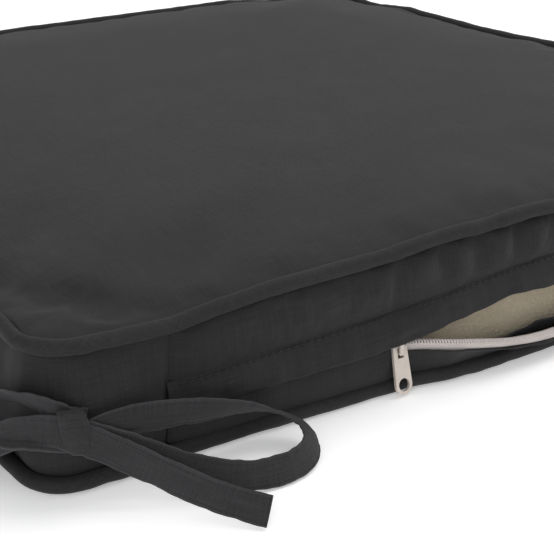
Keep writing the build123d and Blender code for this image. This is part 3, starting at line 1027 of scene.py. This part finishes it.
class PAD_OT_piping(bpy.types.Operator):
    """Run the piping round both edges, with its filler cord"""
    bl_idname = "pad.piping"
    bl_label = "Piping"

    def execute(self, context):
        count = 760
        run = np.arange(count) / count * AROUND
        for edge, top in (("top", True), ("bottom", False)):
            place, out = seam_line(run, 0.0001, top)
            place[:, 2] += PIPING_RADIUS if top else 0.0003 - PIPING_RADIUS
            across = np.concatenate([out, np.zeros((count, 1))], 1)
            up = np.tile((0.0, 0.0, 1.0), (count, 1))
            sides = 22
            angle = np.arange(sides) / sides * tau
            twist = 0.00009 * np.sin(run[:, None] / 0.0105 * tau + angle[None] * 1.0)
            lumps = 0.00007 * ripple(run, 81, 0.019)[:, None]
            radius = PIPING_RADIUS + twist * np.clip(ripple(run, 83, 0.09), 0, 1)[:, None] + lumps
            if top:
                # The bias strip's ends overlap here.
                join = (run - (REAR_MIDDLE - 0.015))[:, None] + 0.0012 * np.sin(angle)[None]
                radius = radius + 0.00045 / (1 + np.exp(-np.clip(join / 0.0004, -30, 30))) * np.exp(
                    -np.clip(join, 0, None) / 0.009)
            mesh = solid_tube(f"{edge}_piping", place, across, up, radius, sides, True)
            piece(f"{edge}_piping_sleeve", mesh, "piping_cloth", f"{edge}_piping_cover")
            cord = solid_tube(
                f"{edge}_filler", place[::4], across[::4], up[::4], PIPING_CORD_RADIUS, 12, True)
            piece(f"{edge}_piping_filler", cord, "piping_filler", f"{edge}_piping_cord")
        return {"FINISHED"}


def ease(share):
    """Share from nought to one with a level start and end."""
    return share * share * (3 - 2 * share)


def mouth(x):
    """One in the open part of the zip, nought where it is closed."""
    from_slider = np.clip((MOUTH_START - x) / MOUTH_WIDENS, 0, 1)
    from_end = np.clip((x - MOUTH_END) / MOUTH_NARROWS, 0, 1)
    return ease(from_slider) * ease(from_end)


def strip_places():
    """Places along the rear strips, which run a little under the boxing at both ends."""
    return np.linspace(-ZIP_END - SEAM_OVERLAP, ZIP_END + SEAM_OVERLAP, STRIP_COLUMNS)


def flap_edge(x):
    """Free edge of the flap: how far it stands out and its height."""
    level = eased(
        x, [-0.152, -0.125, -0.095, -0.055, -0.012, 0.0078, 0.021, 0.038, 0.0504, 0.063, 0.09, 0.152],
        [0.0186, 0.0198, 0.0236, 0.0270, 0.0273, 0.0284, 0.0266, 0.0247, 0.0230, 0.0215, 0.0203, 0.0192])
    stand = eased(
        x, [-0.152, -0.12, -0.06, 0.0, 0.03, 0.060, 0.083, 0.115, 0.152],
        [-0.0012, 0.0026, 0.0046, 0.0050, 0.0052, 0.0058, 0.0046, 0.0034, -0.0012])
    return stand, level


class PAD_OT_zip_panels(bpy.types.Operator):
    """Fold the flap over the zip and the lip under it"""
    bl_idname = "pad.zip_panels"
    bl_label = "Zip Panels"

    def execute(self, context):
        self.flap(REAR["row"])
        self.lip()
        return {"FINISHED"}

    @staticmethod
    def flap(row):
        """Doubled flap from the topstitched fold to its free edge."""
        x = strip_places()
        order = np.argsort(row[:, 0])
        top_y = np.interp(x, row[order, 0], row[order, 1])
        top_z = np.interp(x, row[order, 0], row[order, 2])
        stand, level = flap_edge(x)
        rows = []
        drop = top_z - level
        for share in np.linspace(0, 1, 12):
            over_slider = 0.0022 * np.exp(-((x - SLIDER_REST) / 0.012) ** 2)
            belly = 0.0011 * np.sin(share * pi) + over_slider * np.sin(np.clip(share * 1.15, 0, 1) * pi)
            wave = (0.0005 * ripple(x, 91, 0.024) * share
                    + 0.00025 * ripple(x, 92, 0.011) * np.sin(share * pi))
            y = top_y + (HALF + stand - top_y) * share ** 1.25 + belly + wave
            z = top_z - drop * share
            rows.append(np.stack([x, y, z], -1))
        last = rows[-1].copy()
        for angle in (0.25 * pi, 0.5 * pi, 0.75 * pi):
            fold = last.copy()
            fold[:, 1] += -FLAP_THICK / 2 + FLAP_THICK / 2 * cos(angle)
            fold[:, 2] -= FLAP_THICK / 2 * sin(angle)
            rows.append(fold)
        for share in np.linspace(1, 0, 9):
            index = min(int(round(share * 11)), 11)
            under = rows[index].copy()
            under[:, 1] -= FLAP_THICK
            under[:, 2] = top_z - drop * share
            rows.append(under)
        grid = np.stack(rows)
        sheet_piece("rear_flap_cover", grid, "cover_cloth", "zip_panel_upper", thick=0.0)

    @staticmethod
    def lip_lines(x):
        """Foot, fold and tape edge of the lower lip along the zip."""
        open_share = mouth(x)
        foot_y = HALF - 0.0006 - tucked(x, 0.0012) + rear_push(x)
        foot_z = np.full_like(x, LOWER_SEAM + 0.0002)
        places = [-0.15, -0.13, -0.09, -0.05, -0.008, 0.0175, 0.041, 0.054, 0.064]
        lean = np.radians(eased(x, places, [0, 6, 52, 78, 78, 62, 30, 10, 2]))
        tape_lean = np.radians(eased(x, places, [0, 2, 12, 10, 11, 25, 16, 4, 0]))
        # Where the zip is closed the lip covers its tape, and it gives way at the slider.
        rise = eased(x, [-0.152, -0.138, -0.125, 0.0615, 0.0655, 0.152], [1, 1, 0, 0, 1, 1])
        height = LIP_LENGTH + LIP_RISE * rise
        return foot_y, foot_z, lean, tape_lean, open_share, height

    @classmethod
    def lip(cls):
        """Lower strip, folded double at its top, which falls outwards where the zip is open."""
        x = strip_places()
        foot_y, foot_z, lean, _, open_share, height = cls.lip_lines(x)
        foot_y = foot_y + 0.0011 * np.clip((height - LIP_LENGTH) / LIP_RISE, 0, 1)
        rows = []
        for share in np.linspace(0, 1, 9):
            bend = lean * (0.35 + 0.65 * share)
            out = foot_y + height * share * np.sin(bend)
            up = foot_z + height * share * np.cos(bend)
            wave = (0.0004 + 0.0006 * open_share) * ripple(x, 95, 0.022) * share
            out = out + wave + 0.0006 * np.sin(share * pi)
            rows.append(np.stack([x, out, up + 0.0003 * open_share * ripple(x, 96, 0.015) * share], -1))
        last = rows[-1].copy()
        across = np.stack([np.zeros_like(x), -np.cos(lean), np.sin(lean)], -1)
        ahead = np.stack([np.zeros_like(x), np.sin(lean), np.cos(lean)], -1)
        for angle in (0.25 * pi, 0.5 * pi, 0.75 * pi):
            turned = across * (1 - cos(angle)) + ahead * sin(angle)
            rows.append(last + turned * LIP_THICK / 2)
        for share in np.linspace(1, 0.05, 8):
            index = min(int(round(share * 8)), 8)
            rows.append(rows[index] + across * LIP_THICK)
        grid = np.stack(rows)
        sheet_piece("rear_lip_cover", grid, "cover_cloth", "zip_panel_lower", thick=0.0, flip=True)
        # Loose seam allowance that shows inside the mouth.
        rows = []
        columns = 120
        inside = np.linspace(-0.118, 0.024, columns)
        foot_y, foot_z, lean, _, open_share, _ = cls.lip_lines(inside)
        ends = np.sin(np.linspace(0, pi, columns)) ** 0.7
        for share in np.linspace(0, 1, 8):
            crumple = 0.0012 * ripple(inside, 97, 0.034) * share
            y = foot_y - 0.0022 + 0.0062 * share * ends + crumple
            z = foot_z + 0.0020 + (0.0070 * share) * ends + 0.0006 * ripple(inside, 99, 0.026) * share
            rows.append(np.stack([inside, y, z], -1))
        sheet_piece("lip_seam_allowance", np.stack(rows), "cover_cloth", thick=0.0007, flip=True)


class PAD_OT_zip(bpy.types.Operator):
    """Weave the zip's tapes and wind its coils"""
    bl_idname = "pad.zip"
    bl_label = "Zip"

    def execute(self, context):
        x = np.linspace(-ZIP_END, ZIP_END, 260)
        open_share = mouth(x)
        # Upper tape hangs behind the flap.
        top_z = topstitch_height(x)
        low_z = np.minimum(0.0215 + 0.0075 * open_share, top_z - 0.004)
        back = (HALF - 0.0024 + np.minimum(rear_push(x), 0)
                - tucked(x, 0.0018))
        rows = [np.stack([x, back + 0.0014 * open_share * (1 - share),
                          low_z * (1 - share) + top_z * share], -1) for share in np.linspace(0, 1, 8)]
        sheet_piece("zip_tape_upper_weave", np.stack(rows), "zip_tape", "zip_tape_upper",
                    levels=0, thick=TAPE_THICK)
        self.coil("zip_coil_upper_turns", "zip_coil_upper", x,
                  back - 0.0010 + 0.0014 * open_share, low_z - 0.0004)
        # Lower tape stands above the lip's fold.
        foot_y, foot_z, lean, tape_lean, _, _ = PAD_OT_zip_panels.lip_lines(x)
        fold_y = foot_y + LIP_LENGTH * np.sin(lean) - TAPE_BESIDE_FOLD * np.cos(lean)
        fold_z = foot_z + LIP_LENGTH * np.cos(lean) + TAPE_BESIDE_FOLD * np.sin(lean)
        rows = []
        wave = 0.0004 * open_share * ripple(x, 105, 0.026)
        for share in np.linspace(0, 1, 4):
            down = 0.0040 * (1 - share)
            rows.append(np.stack([x, fold_y - down * np.sin(lean), fold_z - down * np.cos(lean)], -1))
        for share in np.linspace(0.2, 1, 6):
            up = 0.0026 * share
            rows.append(np.stack([x, fold_y + up * np.sin(tape_lean) + wave * share,
                                  fold_z + up * np.cos(tape_lean)], -1))
        sheet_piece("zip_tape_lower_weave", np.stack(rows), "zip_tape", "zip_tape_lower",
                    thick=TAPE_THICK, flip=True)
        edge = rows[-1]
        self.coil("zip_coil_lower_turns", "zip_coil_lower", x,
                  edge[:, 1] - 0.0011 * np.cos(tape_lean) + 0.0006 * np.sin(tape_lean),
                  edge[:, 2] + 0.0003)
        return {"FINISHED"}

    @staticmethod
    def coil(name, replaced, x, y, z):
        """Small monofilament coil that runs along a tape's edge."""
        zips = bpy.context.scene.pad_zip
        place = np.stack([x, y, z], -1)
        run = length_along(place)
        turns = int(run[-1] / zips.coil_pitch)
        steps = np.linspace(0, run[-1], turns * 8)
        centre = np.stack([np.interp(steps, run, place[:, axis]) for axis in range(3)], -1)
        angle = steps / zips.coil_pitch * tau
        line = centre + COIL_RADIUS * np.stack([np.zeros_like(angle), np.cos(angle), np.sin(angle)], -1)
        ahead = np.gradient(line, axis=0)
        ahead /= np.linalg.norm(ahead, axis=1, keepdims=True)
        out = line - centre
        out /= np.linalg.norm(out, axis=1, keepdims=True)
        across = np.cross(ahead, out)
        across /= np.linalg.norm(across, axis=1, keepdims=True)
        mesh = solid_tube(name, line, out, across, COIL_STRAND, 6, False)
        piece(name, mesh, "zip_coil", replaced)


def softened(name, node, width, body):
    """Copy of a hard CAD piece with its edges rounded over."""
    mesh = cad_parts[node].data.copy()
    mesh.name = name
    work = bmesh.new()
    work.from_mesh(mesh)
    bmesh.ops.remove_doubles(work, verts=work.verts, dist=1e-6)
    flat = [edge for edge in work.edges if len(edge.link_faces) == 2
            and edge.calc_face_angle(pi) < radians(35)]
    sharp = [edge for edge in work.edges if edge not in set(flat)]
    bmesh.ops.bevel(work, geom=sharp, offset=width, segments=2, profile=0.5,
                    affect="EDGES", clamp_overlap=True)
    work.to_mesh(mesh)
    work.free()
    made = piece(name, mesh, "zip_metal", node, body=body)
    made.data.shade_smooth()
    return shaped(made, ("WEIGHTED_NORMAL", {"keep_sharp": False}))


class PAD_OT_slider(bpy.types.Operator):
    """Fit the zip's slider and its pull"""
    bl_idname = "pad.slider"
    bl_label = "Slider"

    def execute(self, context):
        softened("slider_casting", "zip_slider_body", 0.00018, "zip_slider")
        softened("pull_tab", "zip_pull_tab", 0.00032, "zip_pull")
        return {"FINISHED"}


class PAD_OT_foam(bpy.types.Operator):
    """Cut the foam core"""
    bl_idname = "pad.foam"
    bl_label = "Foam"

    def execute(self, context):
        levels = [(0.0010, 0.030), (0.0012, 0.012), (0.0030, 0.0065), (0.0075, 0.0042), (0.014, 0.0036),
                  (0.022, 0.0036), (0.030, 0.0036), (0.038, 0.0036), (0.045, 0.0040),
                  (0.0490, 0.0060), (0.0520, 0.011), (0.0535, 0.020), (0.0545, 0.045), (0.0550, 0.10)]
        run = np.arange(300) / 300 * AROUND
        rows = []
        for height, inset in levels:
            place, _ = outline(run)
            scale = (HALF - inset) / HALF
            level = height + (0.6 * top_rise(run) if height > 0.04 and inset < 0.03 else 0)
            rows.append(np.stack([place[:, 0] * scale, place[:, 1] * scale,
                                  np.broadcast_to(level, run.shape)], -1))
        grid = np.stack(rows)
        x, z = grid[..., 0], grid[..., 2]
        behind = grid[..., 1] > 0.18
        hollow = 0.0028 * np.exp(-((z - 0.020) / 0.008) ** 2) * (np.abs(x) < ZIP_END + 0.004)
        grid[..., 1] -= np.where(behind, hollow, 0)
        rows, columns = grid.shape[:2]
        mesh = mesh_from("foam", grid.reshape(-1, 3), grid_faces(rows, columns, True), distances(grid))
        core = piece("foam_block", capped(mesh, rows, columns), "foam", "foam_core")
        return {"FINISHED"}


class PAD_OT_stitches(bpy.types.Operator):
    """Sew the topstitching above the flap"""
    bl_idname = "pad.stitches"
    bl_label = "Stitches"

    def execute(self, context):
        row = REAR["row"]
        order = np.argsort(row[:, 0])
        pitch = context.scene.pad_zip.stitch_pitch
        places = np.arange(-ZIP_END + 0.002, ZIP_END - 0.002, pitch)
        rings, sides = 7, 8
        points, faces, cloth = [], [], []
        for x in places:
            span = np.linspace(0, pitch * 0.74, rings)
            y = np.interp(x + span, row[order, 0], row[order, 1])
            z = np.interp(x + span, row[order, 0], row[order, 2]) - 0.0009
            dive = 0.00042 * np.sin(np.linspace(0, pi, rings)) ** 0.6 - 0.00018
            line = np.stack([x + span, y + dive + 0.0008, z], -1)
            angle = np.arange(sides) / sides * tau
            fat = 0.00028 * np.sin(np.linspace(0.25, pi - 0.25, rings)) ** 0.5
            ring = np.stack([np.zeros(sides), np.cos(angle), np.sin(angle)], -1)
            grid = line[:, None] + ring[None] * fat[:, None, None]
            first = len(points)
            points += grid.reshape(-1, 3).tolist()
            last = first + (rings - 1) * sides
            faces += grid_faces(rings, sides, True, first)
            faces += [tuple(range(first, first + sides))[::-1], tuple(range(last, last + sides))]
            cloth += distances(grid).reshape(-1, 2).tolist()
        mesh = mesh_from("topstitch", points, faces, cloth)
        piece("rear_topstitch", mesh, "cover_cloth", finish="thread")
        return {"FINISHED"}


class PAD_OT_stage(bpy.types.Operator):
    """Lay the floor and set the lights"""
    bl_idname = "pad.stage"
    bl_label = "Stage"

    def execute(self, context):
        scene = context.scene
        bpy.ops.mesh.primitive_plane_add(size=12, location=(0, 0, -0.0001))
        floor = context.object
        floor.name = "floor"
        floor.data.materials.append(finish_of("floor"))
        world = bpy.data.worlds.new("studio")
        world.use_nodes = True
        sky = world.node_tree.nodes["Background"]
        sky.inputs["Color"].default_value = (1.0, 1.0, 1.0, 1)
        sky.inputs["Strength"].default_value = 0.62
        scene.world = world
        scene.view_settings.view_transform = "Standard"
        for name, place, aim, size, power, colour in (
            ("key", (-0.9, 0.2, 1.6), (0.0, 0.1, 0.0), 1.3, 14, (1.0, 0.99, 0.98)),
            ("fill", (1.6, 1.5, 0.9), (0.1, 0.15, 0.0), 1.2, 13, (0.97, 0.98, 1.0)),
        ):
            lamp = bpy.data.lights.new(name, "AREA")
            lamp.size, lamp.energy, lamp.color = size, power, colour
            holder = bpy.data.objects.new(name, lamp)
            scene.collection.objects.link(holder)
            holder.location = place
            holder.rotation_euler = (Vector(place) - Vector(aim)).to_track_quat("Z", "Y").to_euler()
        return {"FINISHED"}


class PAD_PT_panel(bpy.types.Panel):
    """Lists the pad's pieces in the sidebar"""
    bl_label = "Seat Pad"
    bl_idname = "PAD_PT_panel"
    bl_space_type = "VIEW_3D"
    bl_region_type = "UI"
    bl_category = "Seat Pad"

    def draw(self, context):
        for operator in STEPS:
            self.layout.operator(operator.bl_idname)
        for group in GROUPS:
            settings = getattr(context.scene, group)
            for name in settings.__annotations__:
                self.layout.prop(settings, name)


STEPS = (
    PAD_OT_camera, PAD_OT_ties, PAD_OT_cover, PAD_OT_piping, PAD_OT_zip_panels, PAD_OT_zip,
    PAD_OT_slider, PAD_OT_foam, PAD_OT_stitches, PAD_OT_stage,
)
GROUPS = {
    "pad_settings": PadSettings, "pad_zip": ZipSettings,
    "pad_ties": TieSettings, "pad_finish": FinishSettings,
}


def register():
    for name, group in GROUPS.items():
        bpy.utils.register_class(group)
        setattr(bpy.types.Scene, name, bpy.props.PointerProperty(type=group))
    for cls in (*STEPS, PAD_PT_panel):
        bpy.utils.register_class(cls)


def unregister():
    for cls in (PAD_PT_panel, *reversed(STEPS)):
        bpy.utils.unregister_class(cls)
    for name, group in GROUPS.items():
        delattr(bpy.types.Scene, name)
        bpy.utils.unregister_class(group)


def main():
    register()
    for operator in STEPS:
        group, name = operator.bl_idname.split(".")
        getattr(getattr(bpy.ops, group), name)()


if __name__ == "__main__":
    main()
